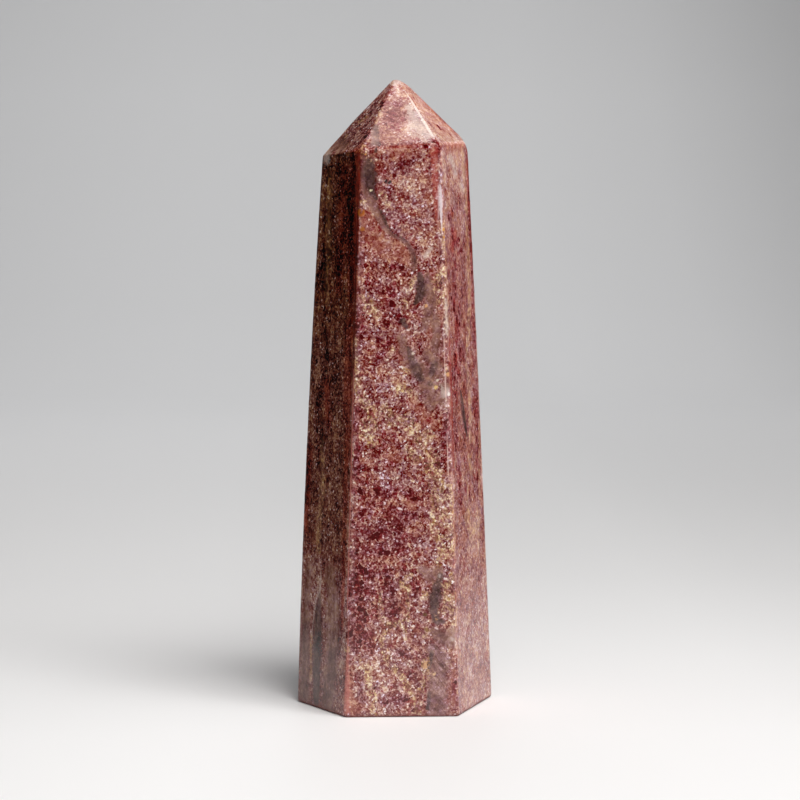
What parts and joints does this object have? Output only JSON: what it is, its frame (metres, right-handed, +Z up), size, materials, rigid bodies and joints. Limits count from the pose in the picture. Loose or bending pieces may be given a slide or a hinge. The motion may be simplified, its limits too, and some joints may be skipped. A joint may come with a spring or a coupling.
{
  "type": "polished rhodonite point",
  "caption": "Free-standing polished stone point: a tapered hexagonal prism of mottled crimson and pink rhodonite, with a faceted pyramid tip and a flat foot.",
  "frame": {"origin": "the middle of the flat foot, on the surface that the stone stands on", "axes": "+Z up towards the tip; the front facet, which faces the camera, looks along -Y; +X to its right"},
  "size_m": [0.0474, 0.0426, 0.1501],
  "materials": {
    "stone": "granular crimson, pink and tan stone with a soft polish"
  },
  "bodies": {
    "root": {"rhodonite_point": "stone"}
  },
  "joints": []
}
